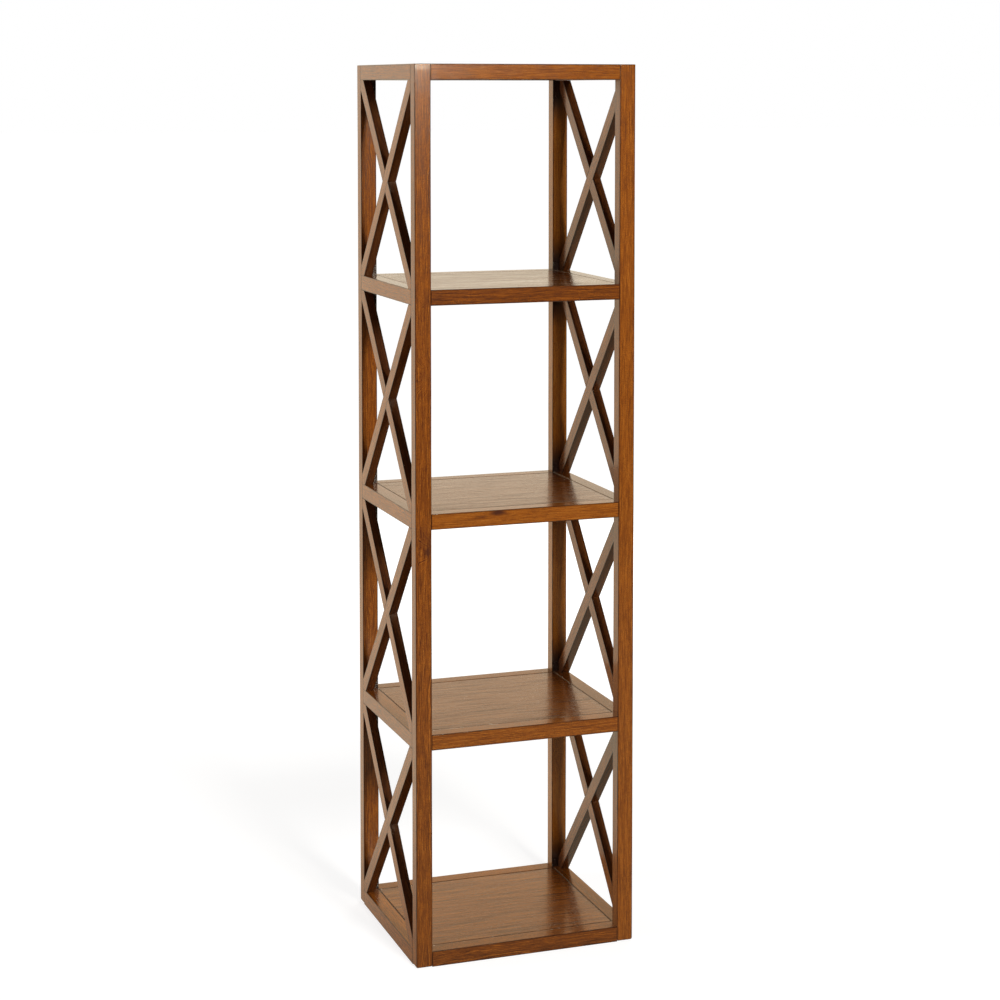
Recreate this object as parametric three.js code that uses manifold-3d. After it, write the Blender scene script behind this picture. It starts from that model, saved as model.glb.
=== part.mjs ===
// Tall open bookshelf in stained hardwood: four posts, five framed shelves and crossed side braces.
// Millimetres, +Z up, front towards -Y, origin on the floor under the middle of the shelf.
import * as THREE from 'three';
import Module from 'manifold-3d';
import { mergeVertices } from 'three/addons/utils/BufferGeometryUtils.js';

const wasm = await Module();
wasm.setup();

// Overall sizes
const overallWidth = 460;
const overallDepth = 400;
const overallHeight = 1780;

// Posts, a little wider across the front than they are deep
const postWide = 33;
const postDeep = 27;
const postArris = 1;
const postFootArris = 3;
const postTopArris = 1.2;

// Rails: front and back ones stand inwards past the posts, side ones stop short of the posts' inner faces
const railHigh = 31;
const frontRailOver = 6;
const sideRailShort = 2;
const railArris = 1;

// Heights of the shelf tops that lie between the floor frame and the top frame
const lowShelfTop = 466;
const middleShelfTop = 904;
const highShelfTop = 1343;

// Mitred tenons at the rail ends, and the mortises that take them
const tenonThick = 11;
const tenonHigh = 18;
const tenonRoot = 6;
const tenonFit = 0.15;
const mitreGap = 1;

// Shelf panels, each of edge-glued boards, tongued into grooves in the rails
const boardCount = 3;
const panelThick = 18;
const panelGap = 0.4;
const panelArris = 0.5;
const tongueThick = 6;
const tongueLong = 8;
const tongueFit = 0.3;
const grooveEndGap = 1.5;

// Crossed braces, flush with the outer faces of the posts and halved over each other
const braceWide = 28;
const braceThick = 18;
const braceArris = 0.8;
const lapGap = 0.3;

// Overrun of every cutting solid past the face that it cuts
const cutOver = 4;

// Places worked out from the sizes above
const halfWidth = overallWidth / 2;
const halfDepth = overallDepth / 2;
const innerX = halfWidth - postWide;
const innerY = halfDepth - postDeep;
const frontRailDeep = postDeep + frontRailOver;
const sideRailWide = postWide - sideRailShort;
const panelX = halfWidth - sideRailWide;
const panelY = halfDepth - frontRailDeep;
const tenonInset = (postDeep - tenonThick) / 2;
const tongueDrop = (panelThick - tongueThick) / 2;

const levels = [
  { name: 'floor', top: railHigh },
  { name: 'low', top: lowShelfTop },
  { name: 'middle', top: middleShelfTop },
  { name: 'high', top: highShelfTop },
  { name: 'top', top: overallHeight },
];

const materials = {
  frame: woodMaterial('frame_wood', 0x8b5126, 0.42),
  shelf: woodMaterial('shelf_wood', 0x9a6b45, 0.38),
  brace: woodMaterial('brace_wood', 0x845331, 0.45),
};

function woodMaterial(name, color, roughness) {
  return new THREE.MeshStandardMaterial({ name, color, roughness, metalness: 0 });
}

// Solids to and from buffer geometry

function toSolid(geometry) {
  const plain = geometry.clone();
  plain.deleteAttribute('normal');
  plain.deleteAttribute('uv');
  const merged = mergeVertices(plain);
  const mesh = new wasm.Mesh({
    numProp: 3,
    vertProperties: new Float32Array(merged.attributes.position.array),
    triVerts: new Uint32Array(merged.index.array),
  });
  return new wasm.Manifold(mesh);
}

function toMesh(name, solid, material) {
  const cut = solid.getMesh();
  const geometry = new THREE.BufferGeometry();
  geometry.setAttribute('position', new THREE.BufferAttribute(new Float32Array(cut.vertProperties), 3));
  geometry.setIndex(new THREE.BufferAttribute(new Uint32Array(cut.triVerts), 1));
  const faceted = geometry.toNonIndexed();
  faceted.computeVertexNormals();
  const mesh = new THREE.Mesh(faceted, material);
  mesh.name = name;
  return mesh;
}

// A box between two opposite corners
function block(x0, x1, y0, y1, z0, z1) {
  const box = new THREE.BoxGeometry(x1 - x0, y1 - y0, z1 - z0);
  box.translate((x0 + x1) / 2, (y0 + y1) / 2, (z0 + z1) / 2);
  return toSolid(box);
}

// A flat outline in X and Y, drawn upwards from one height
function prism(points, base, high) {
  const outline = new THREE.Shape(points.map(([x, y]) => new THREE.Vector2(x, y)));
  const body = new THREE.ExtrudeGeometry(outline, { depth: high, bevelEnabled: false });
  body.translate(0, 0, base);
  return toSolid(body);
}

// A closed skin over rings of equal count, each counterclockwise when seen from the last one
function loft(rings) {
  const count = rings[0].length;
  const index = [];
  for (let ring = 0; ring + 1 < rings.length; ring += 1) {
    for (let i = 0; i < count; i += 1) {
      const next = (i + 1) % count;
      const low = ring * count;
      const high = low + count;
      index.push(low + i, low + next, high + next);
      index.push(low + i, high + next, high + i);
    }
  }
  const last = (rings.length - 1) * count;
  for (let i = 1; i + 1 < count; i += 1) {
    index.push(0, i + 1, i);
    index.push(last, last + i, last + i + 1);
  }
  const geometry = new THREE.BufferGeometry();
  geometry.setAttribute('position', new THREE.Float32BufferAttribute(rings.flat(2), 3));
  geometry.setIndex(index);
  return toSolid(geometry);
}

// A rectangle whose four corners are cut back by their own arris sizes, counterclockwise
function easedRectangle(u0, u1, v0, v1, [lowLow, highLow, highHigh, lowHigh]) {
  return [
    [u0 + lowLow, v0], [u1 - highLow, v0],
    [u1, v0 + highLow], [u1, v1 - highHigh],
    [u1 - highHigh, v1], [u0 + lowHigh, v1],
    [u0, v1 - lowHigh], [u0, v0 + lowLow],
  ];
}

// Posts

function postRing(z, inset) {
  const arrises = [postArris, postArris, postArris, postArris];
  const ring = easedRectangle(inset, postWide - inset, inset, postDeep - inset, arrises);
  return ring.map(([x, y]) => [x, y, z]);
}

// The two mortises at one level run into each other inside the post, as the mitred tenons do
function mortises(levelTop) {
  const near = tenonInset - tenonFit;
  const far = tenonInset + tenonThick + tenonFit;
  const middle = levelTop - railHigh / 2;
  const low = middle - tenonHigh / 2 - tenonFit;
  const high = middle + tenonHigh / 2 + tenonFit;
  const alongX = block(near, postWide + cutOver, near, far, low, high);
  const alongY = block(near, far, near, postDeep + cutOver, low, high);
  return alongX.add(alongY);
}

// A post with its outer corner at the origin, standing in the +X +Y quarter
function makePost() {
  let post = loft([
    postRing(0, postFootArris),
    postRing(postFootArris, 0),
    postRing(overallHeight - postTopArris, 0),
    postRing(overallHeight, postTopArris),
  ]);
  for (const level of levels) {
    post = post.subtract(mortises(level.top));
  }
  return post;
}

function makePosts() {
  const corner = makePost().translate([-halfWidth, -halfDepth, 0]);
  const frontRight = corner.mirror([1, 0, 0]);
  return [
    toMesh('post_front_left', corner, materials.frame),
    toMesh('post_front_right', frontRight, materials.frame),
    toMesh('post_back_left', corner.mirror([0, 1, 0]), materials.frame),
    toMesh('post_back_right', frontRight.mirror([0, 1, 0]), materials.frame),
  ];
}

// Rails

// The tenon past a shoulder, cut to a mitre inside the post whose outer corner is at x = corner
function tenon(shoulder, corner) {
  const near = tenonInset;
  const far = tenonInset + tenonThick;
  const plan = [
    [shoulder - tenonRoot, near],
    [corner - near - mitreGap, near],
    [corner - far - mitreGap, far],
    [shoulder - tenonRoot, far],
  ];
  return prism(plan, -railHigh / 2 - tenonHigh / 2, tenonHigh);
}

// A rail along X with its outer face at y = 0 and its top at z = 0. It stops at its shoulders beside
// the posts, and what stands inwards past the depth of the posts runs on as far as x = reach.
function makeRail({ shoulder, corner, reach, deep, postThrough }) {
  const section = easedRectangle(0, deep, -railHigh, 0, [railArris, railArris, panelArris, railArris]);
  const whole = loft([-reach, reach].map((x) => section.map(([y, z]) => [x, y, z])));
  const besidePost = block(shoulder, reach + cutOver, -cutOver, postThrough, -railHigh - cutOver, cutOver);
  const shouldered = whole.subtract(besidePost).subtract(besidePost.mirror([1, 0, 0]));
  const rightTenon = tenon(shoulder, corner);
  const groove = block(
    -reach - cutOver, reach + cutOver,
    deep - tongueLong - grooveEndGap, deep + cutOver,
    -tongueDrop - tongueThick, -tongueDrop + tongueFit,
  );
  return shouldered.add(rightTenon).add(rightTenon.mirror([1, 0, 0])).subtract(groove);
}

function makeRails() {
  const across = makeRail({
    shoulder: innerX,
    corner: halfWidth,
    reach: panelX,
    deep: frontRailDeep,
    postThrough: postDeep,
  });
  const along = makeRail({
    shoulder: innerY,
    corner: halfDepth,
    reach: innerY,
    deep: sideRailWide,
    postThrough: postWide,
  }).rotate([0, 0, -90]);
  return levels.flatMap(({ name, top }) => {
    const front = across.translate([0, -halfDepth, top]);
    const left = along.translate([-halfWidth, 0, top]);
    return [
      toMesh(`rail_${name}_front`, front, materials.frame),
      toMesh(`rail_${name}_back`, front.mirror([0, 1, 0]), materials.frame),
      toMesh(`rail_${name}_left`, left, materials.frame),
      toMesh(`rail_${name}_right`, left.mirror([1, 0, 0]), materials.frame),
    ];
  });
}

// Shelf boards

// One board of a panel, with its top at z = 0, from the front edge y0 to the back edge y1
function makeBoard(y0, y1, isFront, isBack) {
  const reach = panelX - panelGap;
  const frontArris = isFront ? panelArris : 0;
  const backArris = isBack ? panelArris : 0;
  const lowRing = [[-reach, y0], [reach, y0], [reach, y1], [-reach, y1]];
  const topRing = [
    [-reach + panelArris, y0 + frontArris], [reach - panelArris, y0 + frontArris],
    [reach - panelArris, y1 - backArris], [-reach + panelArris, y1 - backArris],
  ];
  const body = loft([
    lowRing.map(([x, y]) => [x, y, -panelThick]),
    lowRing.map(([x, y]) => [x, y, -panelArris]),
    topRing.map(([x, y]) => [x, y, 0]),
  ]);
  const tongueTop = -tongueDrop;
  const tongueLow = tongueTop - tongueThick;
  const endTongues = block(-panelX - tongueLong, panelX + tongueLong, y0, y1, tongueLow, tongueTop);
  // The tongues in the front and back rails stop short of the posts
  const betweenPosts = innerX - panelGap;
  const frontEdge = isFront ? -panelY - tongueLong : y0;
  const backEdge = isBack ? panelY + tongueLong : y1;
  const edgeTongue = block(-betweenPosts, betweenPosts, frontEdge, backEdge, tongueLow, tongueTop);
  return body.add(endTongues).add(edgeTongue);
}

function makeBoards() {
  const front = -panelY + panelGap;
  const boardWide = -front * 2 / boardCount;
  const edges = Array.from({ length: boardCount + 1 }, (_, i) => front + i * boardWide);
  const solids = Array.from({ length: boardCount }, (_, i) => (
    makeBoard(edges[i], edges[i + 1], i === 0, i === boardCount - 1)
  ));
  return levels.flatMap(({ name, top }) => solids.map((solid, i) => (
    toMesh(`board_${name}_${i + 1}`, solid.translate([0, 0, top]), materials.shelf)
  )));
}

// Braces

// Slope of a brace between two shelves, and half of a width across it as measured along Y and along Z
function braceLine(low, high, wide) {
  const run = innerY * 2;
  const rise = high - low;
  const long = Math.hypot(run, rise);
  return {
    slope: rise / run,
    halfAlongY: wide / 2 * long / rise,
    halfAlongZ: wide / 2 * long / run,
  };
}

// The brace that climbs towards the back, in Y and Z, cut to a point in both corners of the opening
function braceOutline(low, high) {
  const { halfAlongY, halfAlongZ } = braceLine(low, high, braceWide);
  return [
    [-innerY, low], [-innerY + halfAlongY, low],
    [innerY, high - halfAlongZ], [innerY, high],
    [innerY - halfAlongY, high], [-innerY, low + halfAlongZ],
  ];
}

// The path of the same brace widened by the lap gap, for cutting its neighbour
function lapOutline(low, high) {
  const { slope, halfAlongY } = braceLine(low, high, braceWide + lapGap * 2);
  const middle = (low + high) / 2;
  const reach = innerY / 2;
  const atY = (y) => middle + y * slope;
  return [
    [-reach - halfAlongY, atY(-reach)], [-reach + halfAlongY, atY(-reach)],
    [reach + halfAlongY, atY(reach)], [reach - halfAlongY, atY(reach)],
  ];
}

// A Y and Z outline made into a plate whose outer face is the outer face of the left side
function sidePlate(points, depthFrom, depthTo, arris) {
  const outline = new THREE.Shape(points.map(([y, z]) => new THREE.Vector2(y, z)));
  const plate = new THREE.ExtrudeGeometry(outline, {
    depth: depthTo - depthFrom - arris * 2,
    bevelEnabled: arris > 0,
    bevelThickness: arris,
    bevelSize: arris,
    bevelOffset: -arris,
    bevelSegments: 1,
  });
  plate.translate(0, 0, depthFrom + arris);
  // Turn the outline's plane upright: its first axis becomes Y, its second Z and its depth X
  const upright = new THREE.Matrix4().makeBasis(
    new THREE.Vector3(0, 1, 0),
    new THREE.Vector3(0, 0, 1),
    new THREE.Vector3(1, 0, 0),
  );
  plate.applyMatrix4(upright);
  return toSolid(plate).translate([-halfWidth, 0, 0]);
}

function makeBraces() {
  return levels.slice(1).flatMap((level, i) => {
    const low = levels[i].top;
    const high = level.top - railHigh;
    const climb = sidePlate(braceOutline(low, high), 0, braceThick, braceArris);
    const path = lapOutline(low, high);
    const outerLap = sidePlate(path, -cutOver, braceThick / 2, 0);
    const innerLap = sidePlate(path, braceThick / 2, braceThick + cutOver, 0);
    const backward = climb.subtract(outerLap.mirror([0, 1, 0]));
    const forward = climb.mirror([0, 1, 0]).subtract(innerLap);
    const aside = [overallWidth - braceThick, 0, 0];
    return [
      toMesh(`brace_left_${i + 1}_back`, backward, materials.brace),
      toMesh(`brace_left_${i + 1}_front`, forward, materials.brace),
      toMesh(`brace_right_${i + 1}_back`, backward.translate(aside), materials.brace),
      toMesh(`brace_right_${i + 1}_front`, forward.translate(aside), materials.brace),
    ];
  });
}

const bookshelf = new THREE.Group();
bookshelf.name = 'bookshelf';
bookshelf.add(...makePosts(), ...makeRails(), ...makeBoards(), ...makeBraces());

export default bookshelf;
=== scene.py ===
import math
import random

import bmesh
import bpy
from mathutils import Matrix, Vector


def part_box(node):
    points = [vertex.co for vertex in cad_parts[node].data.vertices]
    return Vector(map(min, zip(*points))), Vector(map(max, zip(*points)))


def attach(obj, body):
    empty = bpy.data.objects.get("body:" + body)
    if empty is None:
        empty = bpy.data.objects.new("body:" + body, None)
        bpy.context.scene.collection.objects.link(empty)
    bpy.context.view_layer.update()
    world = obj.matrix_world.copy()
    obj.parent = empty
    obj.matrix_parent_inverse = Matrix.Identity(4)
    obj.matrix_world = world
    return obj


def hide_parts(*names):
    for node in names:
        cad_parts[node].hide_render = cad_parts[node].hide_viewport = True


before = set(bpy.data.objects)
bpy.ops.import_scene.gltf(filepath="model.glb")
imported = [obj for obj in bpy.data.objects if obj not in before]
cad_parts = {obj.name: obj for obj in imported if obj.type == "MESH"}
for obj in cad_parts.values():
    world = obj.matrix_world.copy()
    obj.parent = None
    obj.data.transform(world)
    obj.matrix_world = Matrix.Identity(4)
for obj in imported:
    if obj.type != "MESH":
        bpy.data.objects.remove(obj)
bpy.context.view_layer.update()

sideX, sideY, sideZ = Vector((1, 0, 0)), Vector((0, 1, 0)), Vector((0, 0, 1))
levelNames = ("floor", "low", "middle", "high", "top")
closeEnough = {"turn": 1e-3, "place": 1e-5}  # how far off a picked edge may be, in radians and m


# Camera: stands front left of the shelf, just under its top, and looks a little down

cameraView = {
    "lens": 80.51,  # on a 36 mm sensor
    "place": (-1.5128, -4.3076, 1.7343),
    "turnDegrees": 19.531,  # from straight on towards the right
    "tiltDegrees": 3.917,  # below level
    "shiftY": -0.2595,
}


def placeCamera():
    data = bpy.data.cameras.new("photoCamera")
    data.lens = cameraView["lens"]
    data.shift_y = cameraView["shiftY"]
    camera = bpy.data.objects.new("photoCamera", data)
    bpy.context.scene.collection.objects.link(camera)
    camera.location = cameraView["place"]
    tilt = math.radians(90 - cameraView["tiltDegrees"])
    camera.rotation_euler = (tilt, 0, -math.radians(cameraView["turnDegrees"]))
    bpy.context.scene.camera = camera


placeCamera()
print("camera placed")


# Modelling by hand: picking edges and faces in edit mode

def makeActive(piece):
    bpy.ops.object.select_all(action="DESELECT")
    piece.select_set(True)
    bpy.context.view_layer.objects.active = piece


def startBlock(name, middle, size, turn=0.0):
    bpy.ops.object.select_all(action="DESELECT")
    bpy.ops.mesh.primitive_cube_add(size=1, location=middle)
    block = bpy.context.object
    block.name = name
    block.scale = size
    block.rotation_euler.x = turn
    bpy.ops.object.transform_apply(location=True, rotation=True, scale=True)
    return block


def openMesh(kind):
    bpy.ops.object.mode_set(mode="EDIT")
    bpy.ops.mesh.select_mode(type=kind)
    bpy.ops.mesh.select_all(action="DESELECT")


def closeMesh():
    bpy.ops.object.mode_set(mode="OBJECT")


def pickEdges(wanted):
    mesh = bpy.context.object.data
    shape = bmesh.from_edit_mesh(mesh)
    for edge in shape.edges:
        edge.select_set(wanted(edge.verts[0].co, edge.verts[1].co))
    bmesh.update_edit_mesh(mesh)


def pickFaces(wanted):
    mesh = bpy.context.object.data
    shape = bmesh.from_edit_mesh(mesh)
    for face in shape.faces:
        face.select_set(wanted(face.calc_center_median(), face.normal))
    bmesh.update_edit_mesh(mesh)


def runsAlong(start, stop, direction):
    return (stop - start).normalized().cross(direction).length < closeEnough["turn"]


def liesIn(start, stop, direction, place):
    return all(abs(co.dot(direction) - place) < closeEnough["place"] for co in (start, stop))


def bevelPicked(offset, segments):
    bpy.ops.mesh.bevel(offset=offset, segments=segments, affect="EDGES", clamp_overlap=True)


# Hand-planed faces: long shallow waves, and soft shading that keeps the wide faces flat

planing = {
    "waveLong": 0.16,
    "waveHigh": 0.0005,
    "waveDepth": 1,
    "ringSpacing": 0.06,
    "softAngle": 40,
}


def cutRings(direction, long):
    pickEdges(lambda start, stop: runsAlong(start, stop, direction))
    bpy.ops.mesh.subdivide(number_cuts=max(1, round(long / planing["ringSpacing"])))


def finishShape(piece):
    waves = bpy.data.textures.new("planeWaves", "CLOUDS")
    waves.noise_scale = planing["waveLong"]
    waves.noise_depth = planing["waveDepth"]
    makeActive(piece)
    plane = piece.modifiers.new("plane", "DISPLACE")
    plane.texture = waves
    plane.texture_coords = "LOCAL"
    plane.strength = planing["waveHigh"]
    bpy.ops.object.modifier_apply(modifier=plane.name)
    bpy.ops.object.shade_smooth_by_angle(angle=math.radians(planing["softAngle"]))
    flatten = piece.modifiers.new("flatFaces", "WEIGHTED_NORMAL")
    flatten.keep_sharp = True
    bpy.ops.object.modifier_apply(modifier=flatten.name)
    bpy.data.textures.remove(waves)


# Grain: each vertex keeps its place in the piece's own axes, so that the figure runs along every piece

grainMarks = {
    "seedSpread": 40,  # how far apart the pieces are cut out of the patterns
    "pithLeast": 0.7,  # share of the distance that a piece's kind gives
    "pithMost": 1.4,
    "pithDegrees": 45,  # the pith lies off a corner of the section
    "pithSwing": 12,  # degrees to either side
    "plainTones": (0.35, 0.65),  # from 0, dark, to 1, light
    "tones": {
        "rail_top_front_wood": 0.6,
        "rail_high_front_wood": 0.1,
        "rail_middle_front_wood": 0.8,
        "rail_low_front_wood": 0.62,
        "rail_floor_front_wood": 0.15,
        "post_front_left_wood": 0.38,
        "post_front_right_wood": 0.6,
        "post_back_left_wood": 0.5,
        "post_back_right_wood": 1.4,
    },
    "skews": {"post_front_left_wood": 0.04},  # rise across the front face, planed a little out of square
}


def markGrain(piece, along, across, pithAway, shoulder=None, soak=0.0):
    seed = random.Random(piece.name)
    mesh = piece.data
    third = along.cross(across)
    places = [Vector((v.co.dot(across), v.co.dot(third), v.co.dot(along))) for v in mesh.vertices]
    low = Vector([min(place[i] for place in places) for i in range(3)])
    high = Vector([max(place[i] for place in places) for i in range(3)])
    half = (high - low) / 2
    half.z = shoulder or half.z
    corner = grainMarks["pithDegrees"] + 90 * seed.randrange(4)
    angle = math.radians(corner + seed.uniform(-grainMarks["pithSwing"], grainMarks["pithSwing"]))
    away = pithAway * seed.uniform(grainMarks["pithLeast"], grainMarks["pithMost"])
    same = {
        "half": half,
        "shift": Vector([seed.uniform(0, grainMarks["seedSpread"]) for _ in range(3)]),
        "pith": Vector((math.cos(angle), math.sin(angle), 0)) * away,
    }
    layers = {"grain": [place - (low + high) / 2 for place in places]}
    layers.update({key: [vector] * len(places) for key, vector in same.items()})
    for key, vectors in layers.items():
        layer = mesh.attributes.new(key, "FLOAT_VECTOR", "POINT")
        layer.data.foreach_set("vector", [part for vector in vectors for part in vector])
    plain = seed.uniform(*grainMarks["plainTones"])
    tone = grainMarks["tones"].get(piece.name, plain)
    skew = grainMarks["skews"].get(piece.name, 0.0)
    # tone, the share of painted shade on a brace's narrow faces, and skew
    for key, value in (("tone", tone), ("soak", soak), ("skew", skew)):
        layer = mesh.attributes.new(key, "FLOAT", "POINT")
        layer.data.foreach_set("value", [value] * len(places))


def dress(piece, material, slot, *nodes):
    piece.data.materials.clear()
    piece.data.materials.append(material)
    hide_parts(*nodes)
    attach(piece, "root")


# Materials: one function adds any node, and these settings are the ones that many nodes share

mmPerMetre = 1000
smooth = {"interpolation_type": "SMOOTHSTEP"}
plus = {"operation": "ADD"}
minus = {"operation": "SUBTRACT"}
times = {"operation": "MULTIPLY"}
timesPlus = {"operation": "MULTIPLY_ADD"}
largest = {"operation": "MAXIMUM"}
unsigned = {"operation": "ABSOLUTE"}
length = {"operation": "LENGTH"}
withoutZ = (1, 1, 0)
mixShare, mixFirst, mixSecond, mixed = 0, 6, 7, 2  # sockets of a Mix node for colors
inColor = {"data_type": "RGBA"}


def toLinear(code):
    # The curve of the sRGB standard, and full opacity
    parts = [int(code[i:i + 2], 16) / 255 for i in (1, 3, 5)]
    return [c / 12.92 if c <= 0.04045 else ((c + 0.055) / 1.055) ** 2.4 for c in parts] + [1]


def addNode(tree, kind, settings=None, inputs=()):
    # Inputs are a list, or a dictionary by name or number, of plain values, nodes and their outputs
    node = tree.nodes.new(kind)
    for key, value in (settings or {}).items():
        if key == "stops":
            while len(node.color_ramp.elements) < len(value):
                node.color_ramp.elements.new(0.5)
            for element, (place, color) in zip(node.color_ramp.elements, value):
                element.position = place
                element.color = color
        else:
            setattr(node, key, value)
    for key, value in inputs.items() if isinstance(inputs, dict) else enumerate(inputs):
        if isinstance(value, bpy.types.Node):
            value = value.outputs[0]
        if isinstance(value, bpy.types.NodeSocket):
            tree.links.new(value, node.inputs[key])
        else:
            node.inputs[key].default_value = value
    return node


# Stained open-pored hardwood under rubbed satin lacquer: orange brown with straight darker streaks and
# short dark pores, cloudy where the stain took unevenly, and darker where it gathered on the arrises and
# at the joints. Painted shade darkens the inner corners and the braces' narrow faces. Sizes are in mm.

hardwood = {
    # Octaves of each pattern: the straight ones along the grain have the finest detail
    "details": {"bend": 1.0, "fibre": 3.0, "streak": 4.0, "cloud": 2.0, "pore": 1.0, "ripple": 1.0},
    "bendHigh": 6.0,  # how far the rings wander to either side
    "ringWide": 4.5,
    "ringDetail": 3.0,
    "knotCore": 0.2,  # share of a knot that is evenly dark
    "knotReach": 3.0,  # how many knot sizes away the rings are straight again
    "knotSwirl": 3.0,  # how many rings bend round a knot
    # How far each darkening reaches, in mm; edge is the painted shade on the braces' narrow faces
    "stainWide": {"arris": 3.0, "joint": 1.6, "edge": 0.6},
    "railMiddle": 4.0,  # lowest height that the painted corner shade lies round
    "railSpacing": 437.5,
    "shadeFrom": 40.0,  # painted shade full up to here over and under each height
    "shadeTo": 115.0,  # and not from here on
    "corner": (196, 172),  # inner corner of the posts, from the middle of the shelf
    "shadeNear": 12.0,  # painted shade full up to here round the corner
    "shadeFar": 58.0,  # and not from here on
    "outwardFrom": 50.0,  # a face that looks outwards gets less painted shade from here out
    "outwardTo": 150.0,  # and not from here on
    "dullFrom": 0.38,  # the value of the grain that is dullest
    "dullTo": 0.58,  # and the value that is brightest
    "poreDull": 0.03,  # rougher in the pores
    "endDip": 0.12,  # lower at the ends and shoulders, where the sanding went deeper
    "endWide": 14.0,
    "ior": 1.6,
    "coatRoughness": 0.12,
    "shineTint": "#fff0d8",  # the lacquer has yellowed, so light thrown straight back is warm
}


def readMarks(tree):
    marks = {}
    for key in ("grain", "shift", "half", "pith"):
        marks[key] = addNode(tree, "ShaderNodeAttribute", {"attribute_name": key}).outputs["Vector"]
    for key in ("tone", "soak", "skew"):
        marks[key] = addNode(tree, "ShaderNodeAttribute", {"attribute_name": key}).outputs["Fac"]
    coordinates = addNode(tree, "ShaderNodeTexCoord").outputs
    marks["place"] = coordinates["Object"]
    marks["facing"] = coordinates["Normal"]
    return marks


def drawPatterns(tree, marks, look):
    drawn = {}
    for part, detail in hardwood["details"].items():
        wide, long = look["sizes"][part]
        scale = (mmPerMetre / wide, mmPerMetre / wide, mmPerMetre / long)
        scaled = addNode(tree, "ShaderNodeVectorMath", times, [marks["grain"], scale])
        moved = addNode(tree, "ShaderNodeVectorMath", plus, [scaled, marks["shift"]])
        noise = addNode(tree, "ShaderNodeTexNoise", None, {"Vector": moved, "Detail": detail})
        drawn[part] = noise.outputs["Fac"]
    drawn["pore"] = addNode(tree, "ShaderNodeMapRange", None, {
        "Value": drawn["pore"],
        "From Min": look["poreFrom"],
        "From Max": look["poreFrom"] + look["poreFade"],
    })
    return drawn


def drawKnots(tree, marks, look):
    # Knots and filled nail holes: dark eggs at their places on the shelf, with the rings bent round them
    knots, swirl = 0.0, 0.0
    for knot in look["knots"]:
        apart = addNode(tree, "ShaderNodeVectorMath", minus, [marks["place"], knot["at"]])
        scale = [1 / size for size in knot["size"]]
        egg = addNode(tree, "ShaderNodeVectorMath", times, [apart, scale])
        reach = addNode(tree, "ShaderNodeVectorMath", length, [egg]).outputs["Value"]
        near = addNode(tree, "ShaderNodeMapRange", smooth, {
            "Value": reach, "From Min": hardwood["knotCore"], "To Min": knot["dark"], "To Max": 0.0,
        })
        around = addNode(tree, "ShaderNodeMapRange", smooth, {
            "Value": reach, "From Max": hardwood["knotReach"], "To Min": knot["swirl"], "To Max": 0.0,
        })
        knots = addNode(tree, "ShaderNodeMath", largest, [near, knots])
        swirl = addNode(tree, "ShaderNodeMath", largest, [around, swirl])
    return knots, swirl


def drawRings(tree, marks, bend, swirl):
    # Rings round a pith that lies beside the piece, bent slowly along it and round its knots
    fromPith = addNode(tree, "ShaderNodeVectorMath", minus, [marks["grain"], marks["pith"]])
    flat = addNode(tree, "ShaderNodeVectorMath", times, [fromPith, withoutZ])
    radius = addNode(tree, "ShaderNodeVectorMath", length, [flat]).outputs["Value"]
    place = addNode(tree, "ShaderNodeMath", times, [radius, mmPerMetre / hardwood["ringWide"]])
    wander = 2 * hardwood["bendHigh"] / hardwood["ringWide"]
    place = addNode(tree, "ShaderNodeMath", timesPlus, [bend, wander, place])
    place = addNode(tree, "ShaderNodeMath", timesPlus, [swirl, hardwood["knotSwirl"], place])
    inputs = {"W": place, "Detail": hardwood["ringDetail"]}
    return addNode(tree, "ShaderNodeTexNoise", {"noise_dimensions": "1D"}, inputs).outputs["Fac"]


def mixGrain(tree, marks, look, drawn):
    # One value from dark late wood to light early wood: each pattern swings it about its middle
    toneShare = look["toneShare"]
    value = addNode(tree, "ShaderNodeMath", timesPlus, [marks["tone"], toneShare, 0.5 - toneShare / 2])
    for part, share in look["shares"].items():
        value = addNode(tree, "ShaderNodeMath", timesPlus, [drawn[part], share, value])
        value = addNode(tree, "ShaderNodeMath", minus, [value, share / 2])
    return value


def findEdges(tree, marks, look):
    # Near an arris two of the distances to the faces are small, and near a joint the one along the piece
    fromMiddle = addNode(tree, "ShaderNodeVectorMath", unsigned, [marks["grain"]])
    inside = addNode(tree, "ShaderNodeVectorMath", minus, [marks["half"], fromMiddle])
    inside = addNode(tree, "ShaderNodeVectorMath", unsigned, [inside])
    across, deep, along = addNode(tree, "ShaderNodeSeparateXYZ", None, [inside]).outputs
    distances = {
        "arris": addNode(tree, "ShaderNodeMath", largest, [across, deep]),
        "joint": along,
        "edge": deep,
    }
    near = {}
    for part, distance in distances.items():
        near[part] = addNode(tree, "ShaderNodeMapRange", None, {
            "Value": distance,
            "From Max": hardwood["stainWide"][part] / mmPerMetre,
            "To Min": look["stains"][part],
            "To Max": 0.0,
        })
    return near, along


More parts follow.
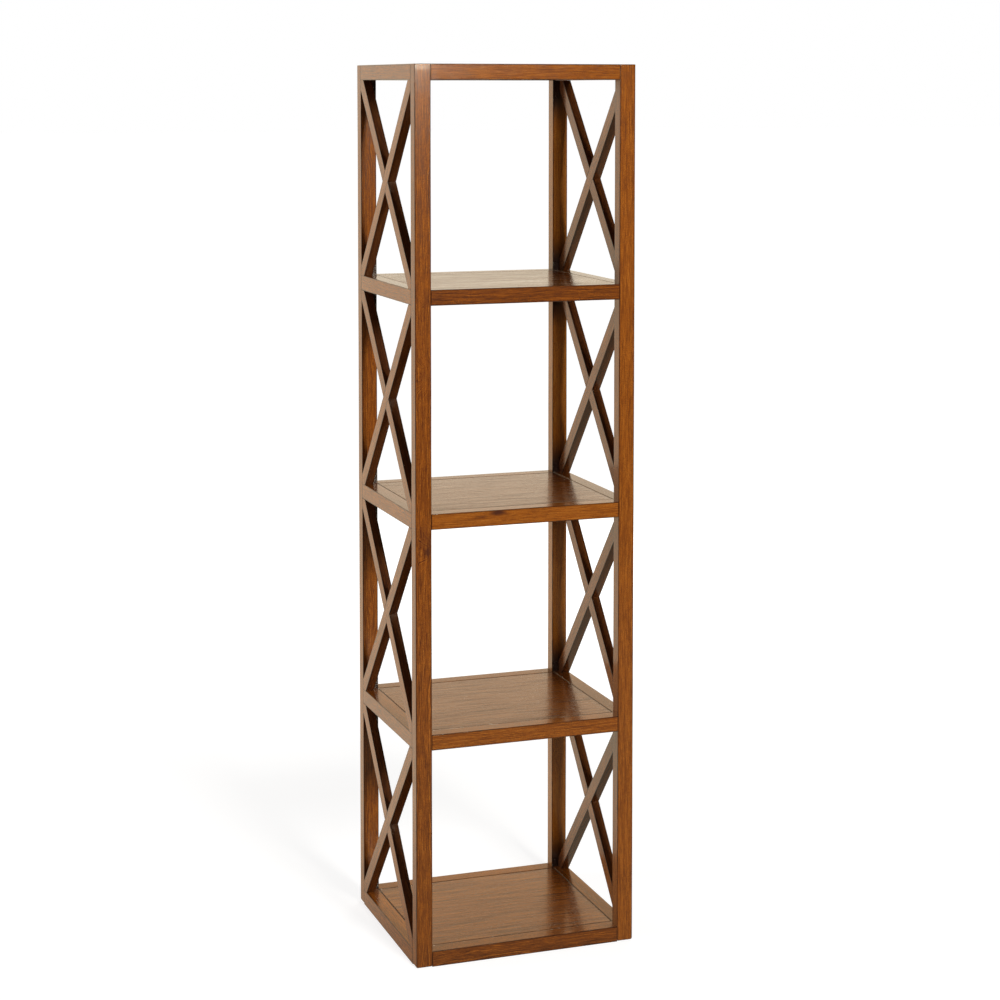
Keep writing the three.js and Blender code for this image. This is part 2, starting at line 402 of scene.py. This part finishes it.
def paintCornerShade(tree, marks, look):
    # Painted shade in the inner corners over and under each shelf, near a rail and near a post, facing
    # inwards
    height = addNode(tree, "ShaderNodeSeparateXYZ", None, [marks["place"]]).outputs["Z"]
    height = addNode(tree, "ShaderNodeMath", minus, [height, hardwood["railMiddle"] / mmPerMetre])
    halfway = hardwood["railSpacing"] / 2 / mmPerMetre
    fromRail = addNode(tree, "ShaderNodeMath", {"operation": "PINGPONG"}, [height, halfway])
    nearRail = addNode(tree, "ShaderNodeMapRange", smooth, {
        "Value": fromRail,
        "From Min": hardwood["shadeFrom"] / mmPerMetre,
        "From Max": hardwood["shadeTo"] / mmPerMetre,
        "To Min": look["stains"]["corner"],
        "To Max": 0.0,
    })
    cornerX, cornerY = (side / mmPerMetre for side in hardwood["corner"])
    sides = addNode(tree, "ShaderNodeVectorMath", unsigned, [marks["place"]])
    sides = addNode(tree, "ShaderNodeVectorMath", minus, [sides, (cornerX, cornerY, 0)])
    sides = addNode(tree, "ShaderNodeVectorMath", times, [sides, withoutZ])
    nearPost = addNode(tree, "ShaderNodeMapRange", smooth, {
        "Value": addNode(tree, "ShaderNodeVectorMath", length, [sides]).outputs["Value"],
        "From Min": hardwood["shadeNear"] / mmPerMetre,
        "From Max": hardwood["shadeFar"] / mmPerMetre,
        "To Min": 1.0,
        "To Max": 0.0,
    })
    outward = addNode(tree, "ShaderNodeVectorMath", times, [marks["place"], marks["facing"]])
    outward = addNode(tree, "ShaderNodeSeparateXYZ", None, [outward]).outputs
    inward = addNode(tree, "ShaderNodeMapRange", None, {
        "Value": addNode(tree, "ShaderNodeMath", largest, [outward["X"], outward["Y"]]),
        "From Min": hardwood["outwardFrom"] / mmPerMetre,
        "From Max": hardwood["outwardTo"] / mmPerMetre,
        "To Min": 1.0,
        "To Max": 0.0,
    })
    # Faces that look to the front or back take the full painted shade, the others only a share of it
    forward = addNode(tree, "ShaderNodeSeparateXYZ", None, [marks["facing"]]).outputs["Y"]
    forward = addNode(tree, "ShaderNodeMath", unsigned, [forward])
    forward = addNode(tree, "ShaderNodeMapRange", None, {"Value": forward, "To Min": look["sideShade"]})
    dark = nearPost
    for share in (nearRail, inward, forward):
        dark = addNode(tree, "ShaderNodeMath", times, [dark, share])
    return dark


def raiseSurface(tree, marks, look, drawn, fromEnd):
    height = 0.0
    for part, high in look["heights"].items():
        height = addNode(tree, "ShaderNodeMath", timesPlus, [drawn[part], high, height])
    endDip = addNode(tree, "ShaderNodeMapRange", smooth, {
        "Value": fromEnd,
        "From Max": hardwood["endWide"] / mmPerMetre,
        "To Min": hardwood["endDip"],
        "To Max": 0.0,
    })
    height = addNode(tree, "ShaderNodeMath", minus, [height, endDip])
    across = addNode(tree, "ShaderNodeSeparateXYZ", None, [marks["grain"]]).outputs["X"]
    skew = addNode(tree, "ShaderNodeMath", times, [marks["skew"], mmPerMetre])
    return addNode(tree, "ShaderNodeMath", timesPlus, [across, skew, height])


def makeHardwood(name, look):
    material = bpy.data.materials.new(name)
    material.use_nodes = True
    tree = material.node_tree
    shader = tree.nodes["Principled BSDF"]
    marks = readMarks(tree)
    drawn = drawPatterns(tree, marks, look)
    knots, swirl = drawKnots(tree, marks, look)
    drawn["ring"] = drawRings(tree, marks, drawn["bend"], swirl)
    value = mixGrain(tree, marks, look, drawn)
    near, fromEnd = findEdges(tree, marks, look)
    nearArris = addNode(tree, "ShaderNodeMath", times, [near["arris"], drawn["cloud"]])
    # Painted shade: on the braces' narrow faces and in the inner corners
    paintedEdgeShade = addNode(tree, "ShaderNodeMath", times, [near["edge"], marks["soak"]])
    paintedCornerShade = paintCornerShade(tree, marks, look)
    paintedShade = addNode(tree, "ShaderNodeMath", largest, [paintedEdgeShade, paintedCornerShade])
    pores = addNode(tree, "ShaderNodeMath", times, [drawn["pore"], look["poreDark"]])

    stops = [(at, toLinear(code)) for at, code in look["colors"]]
    wood = addNode(tree, "ShaderNodeValToRGB", {"stops": stops}, [value]).outputs["Color"]
    for share, code in (
        (pores, look["poreColor"]),
        (nearArris, look["stainColor"]),
        (near["joint"], look["stainColor"]),
        (paintedShade, look["paintedShadeColor"]),
        (knots, look["knotColor"]),
    ):
        inputs = {mixShare: share, mixFirst: wood, mixSecond: toLinear(code)}
        wood = addNode(tree, "ShaderNodeMix", inColor, inputs).outputs[mixed]
    tree.links.new(wood, shader.inputs["Base Color"])

    # Dark grain took the lacquer less well, so it is duller than the light grain between
    dull, bright = look["roughness"]
    rough = addNode(tree, "ShaderNodeMapRange", None, {
        "Value": value,
        "From Min": hardwood["dullFrom"],
        "From Max": hardwood["dullTo"],
        "To Min": dull,
        "To Max": bright,
    })
    rough = addNode(tree, "ShaderNodeMath", timesPlus, [pores, hardwood["poreDull"], rough])
    tree.links.new(rough.outputs[0], shader.inputs["Roughness"])

    height = raiseSurface(tree, marks, look, drawn, fromEnd)
    bump = addNode(tree, "ShaderNodeBump", None, {
        "Strength": 1.0, "Distance": 1 / mmPerMetre, "Height": height,
    })
    tree.links.new(bump.outputs[0], shader.inputs["Normal"])
    shader.inputs["IOR"].default_value = hardwood["ior"]
    shader.inputs["Specular Tint"].default_value = toLinear(hardwood["shineTint"])
    shader.inputs["Coat Weight"].default_value = look["coat"]
    shader.inputs["Coat Roughness"].default_value = hardwood["coatRoughness"]
    return material


# Posts and rails: orange brown, with fine streaks, short pores and a thin, even gloss
frameLook = {
    "sizes": {
        "pore": (2.2, 8.0),  # mm across and along the grain, drawn coarser than real so that pores show
        "fibre": (2.2, 75.0),  # as are the fibres
        "streak": (6.5, 260.0),
        "cloud": (36.0, 220.0),
        "bend": (110.0, 600.0),
        "ripple": (28.0, 80.0),
    },
    "colors": [  # from dark late wood to light early wood
        (0.28, "#411e0c"), (0.40, "#6a3611"), (0.49, "#894814"), (0.58, "#9c5618"), (0.72, "#b46e28"),
    ],
    "toneShare": 0.2,
    "shares": {"ring": 0.5, "fibre": 0.55, "streak": 0.5, "cloud": 0.2},
    "poreFrom": 0.52,
    "poreFade": 0.12,
    "poreDark": 0.75,
    "poreColor": "#3a1a0b",
    # How strongly each darkens; corner is the painted shade in the inner corners
    "stains": {"arris": 2.2, "joint": 0.8, "edge": 0.0, "corner": 1.0},
    "stainColor": "#351608",
    # Colour of the painted shade in the inner corners and on the braces' narrow faces
    "paintedShadeColor": "#2e211c",
    "sideShade": 0.25,  # what faces left, right, up or down show of the painted corner shade
    # Knots and nail holes: places and sizes in m, in the frame of the shelf
    "knots": [
        {"at": (-0.205, -0.2, 0.831), "size": (0.010, 0.02, 0.017), "dark": 0.7, "swirl": 1.2},
        {"at": (-0.209, -0.2, 0.850), "size": (0.024, 0.02, 0.040), "dark": 0.3, "swirl": 0.0},
        {"at": (-0.212, -0.2, 1.175), "size": (0.010, 0.02, 0.016), "dark": 0.25, "swirl": 1.0},
        {"at": (-0.060, -0.2, 0.899), "size": (0.024, 0.02, 0.008), "dark": 0.9, "swirl": 1.0},
        {"at": (-0.095, -0.2, 0.893), "size": (0.022, 0.02, 0.004), "dark": 0.5, "swirl": 0.4},
    ],
    "knotColor": "#3f2018",
    "coat": 0.15,
    "roughness": (0.17, 0.125),  # of dark and of light grain
    "heights": {"ripple": 0.02, "fibre": 0.015, "pore": -0.015},  # mm
}
# Shelf boards: browner and more evenly stained, with broad figure and a thicker, glossier coat
shelfLook = {
    **frameLook,
    "sizes": {**frameLook["sizes"], "fibre": (7.0, 200.0), "streak": (30.0, 600.0)},
    "colors": [
        (0.30, "#331508"), (0.42, "#56290c"), (0.49, "#743c11"), (0.57, "#864818"), (0.70, "#9a5f24"),
    ],
    "shares": {"ring": 0.3, "fibre": 0.55, "streak": 0.7, "cloud": 0.1},
    # corner is the painted shade in the inner corners
    "stains": {"arris": 1.8, "joint": 0.8, "edge": 0.0, "corner": 0.8},
    "knots": [
        {"at": (0.180, -0.128, 0.466), "size": (0.004, 0.004, 0.01), "dark": 0.9, "swirl": 0.0},
        {"at": (-0.170, -0.150, 0.904), "size": (0.012, 0.006, 0.01), "dark": 0.6, "swirl": 0.8},
    ],
    "coat": 0.3,
    "roughness": (0.3, 0.1),
    "heights": {"ripple": 0.05, "streak": 0.12, "fibre": 0.03, "pore": -0.03},
}
# Braces: duller, with painted shade on their narrow sawn faces, deeper on the left side
braceLook = {
    **frameLook,
    "roughness": (0.24, 0.16),
    "knots": [],
    # edge and corner are painted shade on the narrow faces and in the inner corners
    "stains": {"arris": 2.2, "joint": 0.8, "edge": 1.0, "corner": 0.85},
    "sideShade": 0.9,
}

frameWood = makeHardwood("frameHardwoodSatinLacquer", frameLook)
shelfWood = makeHardwood("shelfHardwoodSatinLacquer", shelfLook)
braceWood = makeHardwood("braceHardwoodSatinLacquer", braceLook)
print("hardwood mixed")


# Posts: one square block each, with finely rounded arrises and a well rounded foot

postShape = {"arris": 0.0013, "foot": 0.0045, "segments": 3, "pith": 0.045}


def makePost(node):
    low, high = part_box(node)
    post = startBlock(f"{node}_wood", (low + high) / 2, high - low)
    openMesh("EDGE")
    pickEdges(lambda start, stop: liesIn(start, stop, sideZ, low.z))
    bpy.ops.transform.edge_bevelweight(value=1.0)
    pickEdges(lambda start, stop: not liesIn(start, stop, sideZ, low.z))
    bpy.ops.transform.edge_bevelweight(value=postShape["arris"] / postShape["foot"])
    closeMesh()
    makeActive(post)
    ease = post.modifiers.new("ease", "BEVEL")
    ease.limit_method = "WEIGHT"
    ease.width = postShape["foot"]
    ease.segments = postShape["segments"]
    bpy.ops.object.modifier_apply(modifier=ease.name)
    openMesh("EDGE")
    cutRings(sideZ, high.z - low.z)
    closeMesh()
    finishShape(post)
    markGrain(post, sideZ, sideX, postShape["pith"])
    dress(post, frameWood, "frame_wood", node)


for end in ("front", "back"):
    for hand in ("left", "right"):
        makePost(f"post_{end}_{hand}")
print("posts made")


# Rails: butted to the posts at a fine joint line. The front and back ones stand in behind the posts, with
# an ear at each end that reaches to the side rail's inner face

railShape = {"arris": 0.0012, "panelArris": 0.0013, "segments": 3, "rings": 6, "pith": 0.05}


def isArris(start, stop, along, across, face, height):
    inFace = liesIn(start, stop, across, face) and liesIn(start, stop, sideZ, height)
    return inFace and runsAlong(start, stop, along)


def easeRail(along, across, outerFace, innerFace, under, top):
    outer = ((outerFace, under), (outerFace, top), (innerFace, under))
    pickEdges(lambda start, stop: any(isArris(start, stop, along, across, *place) for place in outer))
    bevelPicked(railShape["arris"], railShape["segments"])
    pickEdges(lambda start, stop: isArris(start, stop, along, across, innerFace, top))
    bevelPicked(railShape["panelArris"], railShape["segments"])


def makeFrontRail(level, end):
    node = f"rail_{level}_{end}"
    low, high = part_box(node)
    postLow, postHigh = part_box(f"post_{end}_left")
    low.x, high.x = postHigh.x, -postHigh.x
    if end == "front":
        outerFace, innerFace, postFace = low.y, high.y, postHigh.y
    else:
        outerFace, innerFace, postFace = high.y, low.y, postLow.y
    earLong = -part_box(f"rail_{level}_left")[1].x - high.x
    rail = startBlock(f"{node}_wood", (low + high) / 2, high - low)
    openMesh("FACE")
    bpy.ops.mesh.select_all(action="SELECT")
    bpy.ops.mesh.bisect(plane_co=(0, postFace, 0), plane_no=sideY)
    for way in (-1, 1):
        endPlace = high.x * way
        pickFaces(lambda middle, normal: abs(middle.x - endPlace) < closeEnough["place"]
                  and abs(middle.y - innerFace) < abs(middle.y - outerFace))
        bpy.ops.mesh.extrude_region_move(TRANSFORM_OT_translate={"value": (way * earLong, 0, 0)})
    bpy.ops.mesh.select_mode(type="EDGE")
    easeRail(sideX, sideY, outerFace, innerFace, low.z, high.z)
    pickEdges(lambda start, stop: runsAlong(start, stop, sideX))
    bpy.ops.mesh.subdivide(number_cuts=railShape["rings"])
    closeMesh()
    finishShape(rail)
    markGrain(rail, sideX, sideY, railShape["pith"], shoulder=high.x)
    dress(rail, frameWood, "frame_wood", node)


def makeSideRail(level, hand):
    node = f"rail_{level}_{hand}"
    low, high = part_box(node)
    low.y, high.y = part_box(f"post_front_{hand}")[1].y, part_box(f"post_back_{hand}")[0].y
    outerFace, innerFace = (low.x, high.x) if hand == "left" else (high.x, low.x)
    rail = startBlock(f"{node}_wood", (low + high) / 2, high - low)
    openMesh("EDGE")
    easeRail(sideY, sideX, outerFace, innerFace, low.z, high.z)
    cutRings(sideY, high.y - low.y)
    closeMesh()
    finishShape(rail)
    markGrain(rail, sideY, sideX, railShape["pith"])
    dress(rail, frameWood, "frame_wood", node)


for level in levelNames:
    for end in ("front", "back"):
        makeFrontRail(level, end)
    for hand in ("left", "right"):
        makeSideRail(level, hand)
print("rails made")


# Shelf boards: three to a panel, edge glued, with a shadow gap to the rails all round

boardShape = {"number": 3, "gap": 0.0010, "arris": 0.0014, "segments": 2, "pith": 0.06}


def makeBoards(level):
    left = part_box(f"rail_{level}_left")[1].x + boardShape["gap"]
    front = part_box(f"rail_{level}_front")[1].y + boardShape["gap"]
    rim = ((sideX, left), (sideX, -left), (sideY, front), (sideY, -front))
    middleLow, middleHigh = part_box(f"board_{level}_2")
    seams = (front, middleLow.y, middleHigh.y, -front)
    for i in range(boardShape["number"]):
        node = f"board_{level}_{i + 1}"
        low = Vector((left, seams[i], middleLow.z))
        high = Vector((-left, seams[i + 1], middleHigh.z))
        board = startBlock(f"{node}_wood", (low + high) / 2, high - low)
        openMesh("EDGE")
        pickEdges(lambda start, stop: liesIn(start, stop, sideZ, middleHigh.z)
                  and any(liesIn(start, stop, side, place) for side, place in rim))
        bevelPicked(boardShape["arris"], boardShape["segments"])
        cutRings(sideX, high.x - low.x)
        closeMesh()
        finishShape(board)
        markGrain(board, sideX, sideY, boardShape["pith"])
        dress(board, shelfWood, "shelf_wood", node)


for level in levelNames:
    makeBoards(level)
print("shelf boards made")


# Braces: sawn to a point in both corners of the opening, halved over each other where they cross

braceShape = {
    "wide": 0.028,
    "overlong": 1.2,  # times the diagonal, before the ends are sawn off
    "arris": 0.0010,
    "segments": 2,
    "lapGap": 0.0002,
    "lapRoom": 0.01,  # how far the cutter stands out of the brace
    "endGap": 0.0001,
    "pith": 0.03,
    # painted shade on the narrow faces, deeper on the left side
    "soak": {"left": 0.7, "right": 0.5},
}


def startBar(name, low, high, wide, climb):
    run, rise = high.y - low.y, high.z - low.z
    long = math.hypot(run, rise) * braceShape["overlong"]
    return startBlock(name, (low + high) / 2, (high.x - low.x, long, wide), climb * math.atan2(rise, run))


def sawEnds(low, high):
    for place, normal in ((low, -sideY), (high, sideY), (low, -sideZ), (high, sideZ)):
        bpy.ops.mesh.select_all(action="SELECT")
        cut = place - normal * braceShape["endGap"]
        bpy.ops.mesh.bisect(plane_co=cut, plane_no=normal, use_fill=True, clear_outer=True)


def cutLap(brace, low, high, climb):
    # The crossing brace takes half of the thickness, towards -X from the one that climbs to the back
    room = Vector((braceShape["lapRoom"], 0, 0))
    cutLow, cutHigh = low - room, high + room
    halfX = (low.x + high.x) / 2
    if climb > 0:
        cutHigh.x = halfX + braceShape["lapGap"] / 2
    else:
        cutLow.x = halfX - braceShape["lapGap"] / 2
    cutter = startBar("lapCutter", cutLow, cutHigh, braceShape["wide"] + braceShape["lapGap"] * 2, -climb)
    makeActive(brace)
    lap = brace.modifiers.new("lap", "BOOLEAN")
    lap.operation = "DIFFERENCE"
    lap.solver = "EXACT"
    lap.object = cutter
    bpy.ops.object.modifier_apply(modifier=lap.name)
    bpy.data.objects.remove(cutter)


def makeBrace(hand, bay, climbsTo):
    node = f"brace_{hand}_{bay}_{climbsTo}"
    low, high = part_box(node)
    climb = 1 if climbsTo == "back" else -1
    along = Vector((0, high.y - low.y, climb * (high.z - low.z))).normalized()
    brace = startBar(f"{node}_wood", low, high, braceShape["wide"], climb)
    openMesh("EDGE")
    pickEdges(lambda start, stop: runsAlong(start, stop, along))
    bevelPicked(braceShape["arris"], braceShape["segments"])
    sawEnds(low, high)
    closeMesh()
    cutLap(brace, low, high, climb)
    finishShape(brace)
    markGrain(brace, along, sideX, braceShape["pith"], soak=braceShape["soak"][hand])
    dress(brace, braceWood, "brace_wood", node)


for hand in ("left", "right"):
    for bay in range(1, len(levelNames)):
        for climbsTo in ("back", "front"):
            makeBrace(hand, bay, climbsTo)
print("braces made")


# Studio: pale floor, a small key lamp high in front, and large soft lamps on the left and behind

studio = {
    "floorColor": "#9c9a97",
    "floorWide": 160.0,
    "floorRoughness": 0.9,
    "floorGlow": {"near": 0.8, "far": 1.0, "from": 0.8, "to": 3.5},  # m from the middle
    "floorMirrored": {
        "color": "#fff0d4",
        "stops": [(-5.0, 0.04), (-1.5, 0.25), (-0.3, 0.25), (0.9, 0.88)],  # m behind the middle, strength
    },
    "ambient": 0.1,
    # What the lacquer mirrors of the sky, by direction
    "mirrored": {"front": 0.0, "back": 1.0, "from": 0.3, "to": 0.7},
    "mirroredColors": {"low": "#fff2da", "high": "#f6c796", "from": 0.09, "to": 0.36},
    "aim": (0, 0, 0.95),
}
lamps = {
    "keyLamp": {"place": (0.35, -4.4, 2.5), "wide": 0.8, "high": 0.8, "watts": 208, "shines": True},
    "leftLamp": {"place": (-4.0, 0.3, 1.0), "wide": 2.4, "high": 2.2, "watts": 128, "shines": False},
    "backLamp": {"place": (2.4, 3.6, 1.7), "wide": 2.0, "high": 2.0, "watts": 80, "shines": False},
}
white, black = (1, 1, 1, 1), (0, 0, 0, 1)


def readRays(tree):
    rays = addNode(tree, "ShaderNodeLightPath").outputs
    glossy, clear = rays["Is Glossy Ray"], rays["Is Transmission Ray"]
    return rays["Is Camera Ray"], addNode(tree, "ShaderNodeMath", largest, [glossy, clear])


def glowBehind(tree, place):
    # The lacquer mirrors a dim floor in front and a bright one behind the shelf
    mirrored = studio["floorMirrored"]["stops"]
    towards = addNode(tree, "ShaderNodeSeparateXYZ", None, [place]).outputs["Y"]
    reflected = mirrored[0][1]
    for (start, low), (stop, high) in zip(mirrored, mirrored[1:]):
        step = addNode(tree, "ShaderNodeMapRange", smooth, {
            "Value": towards, "From Min": start, "From Max": stop, "To Min": 0.0, "To Max": high - low,
        })
        reflected = addNode(tree, "ShaderNodeMath", plus, [step, reflected])
    return reflected


def makeFloor():
    # Matte and pale: it takes a soft shadow, and fades to white further out
    bpy.ops.object.select_all(action="DESELECT")
    bpy.ops.mesh.primitive_plane_add(size=studio["floorWide"])
    floor = bpy.context.object
    floor.name = "studioFloor"
    material = bpy.data.materials.new("matteWhiteFloor")
    material.use_nodes = True
    tree = material.node_tree
    shader = tree.nodes["Principled BSDF"]
    shader.inputs["Roughness"].default_value = studio["floorRoughness"]
    shader.inputs["Specular IOR Level"].default_value = 0.0
    camera, mirror = readRays(tree)
    mirroredColor = toLinear(studio["floorMirrored"]["color"])
    inputs = {mixShare: camera, mixFirst: mirroredColor, mixSecond: white}
    seenColor = addNode(tree, "ShaderNodeMix", inColor, inputs).outputs[mixed]
    tree.links.new(seenColor, shader.inputs["Emission Color"])
    place = addNode(tree, "ShaderNodeTexCoord").outputs["Object"]
    glow = studio["floorGlow"]
    seen = addNode(tree, "ShaderNodeMapRange", smooth, {
        "Value": addNode(tree, "ShaderNodeVectorMath", length, [place]).outputs["Value"],
        "From Min": glow["from"],
        "From Max": glow["to"],
        "To Min": glow["near"],
        "To Max": glow["far"],
    })
    seen = addNode(tree, "ShaderNodeMath", times, [seen, camera])
    inputs = {mixShare: mirror, mixFirst: toLinear(studio["floorColor"]), mixSecond: black}
    lit = addNode(tree, "ShaderNodeMix", inColor, inputs).outputs[mixed]
    tree.links.new(lit, shader.inputs["Base Color"])
    strength = addNode(tree, "ShaderNodeMath", timesPlus, [mirror, glowBehind(tree, place), seen])
    tree.links.new(strength.outputs[0], shader.inputs["Emission Strength"])
    floor.data.materials.append(material)


def makeSky():
    # White behind the shelf, and dim as a lamp
    world = bpy.data.worlds.new("studioWhite")
    world.use_nodes = True
    tree = world.node_tree
    background = tree.nodes["Background"]
    camera, mirror = readRays(tree)
    direction = addNode(tree, "ShaderNodeTexCoord").outputs["Generated"]
    direction = addNode(tree, "ShaderNodeSeparateXYZ", None, [direction]).outputs
    mirrored = studio["mirrored"]
    around = addNode(tree, "ShaderNodeMapRange", smooth, {
        "Value": direction["Y"],
        "From Min": mirrored["from"],
        "From Max": mirrored["to"],
        "To Min": mirrored["front"],
        "To Max": mirrored["back"],
    })
    strength = addNode(
        tree, "ShaderNodeMapRange", None, {"Value": mirror, "To Min": studio["ambient"], "To Max": around}
    )
    strength = addNode(
        tree, "ShaderNodeMapRange", None, {"Value": camera, "To Min": strength, "To Max": 1.0}
    )
    tree.links.new(strength.outputs[0], background.inputs["Strength"])
    colors = studio["mirroredColors"]
    upward = addNode(tree, "ShaderNodeMapRange", None, {
        "Value": direction["Z"], "From Min": colors["from"], "From Max": colors["to"],
    })
    inputs = {mixShare: upward, mixFirst: toLinear(colors["low"]), mixSecond: toLinear(colors["high"])}
    tint = addNode(tree, "ShaderNodeMix", inColor, inputs).outputs[mixed]
    inputs = {mixShare: mirror, mixFirst: white, mixSecond: tint}
    tint = addNode(tree, "ShaderNodeMix", inColor, inputs).outputs[mixed]
    tree.links.new(tint, background.inputs["Color"])
    bpy.context.scene.world = world


def makeLamp(name, lamp):
    data = bpy.data.lights.new(name, "AREA")
    data.shape = "RECTANGLE"
    data.size = lamp["wide"]
    data.size_y = lamp["high"]
    data.energy = lamp["watts"]
    light = bpy.data.objects.new(name, data)
    bpy.context.scene.collection.objects.link(light)
    light.visible_glossy = lamp["shines"]
    light.location = lamp["place"]
    aim = Vector(studio["aim"]) - light.location
    light.rotation_euler = aim.to_track_quat("-Z", "Y").to_euler()


makeFloor()
makeSky()
for name, lamp in lamps.items():
    makeLamp(name, lamp)
bpy.context.scene.view_settings.view_transform = "Standard"
print("studio lit")
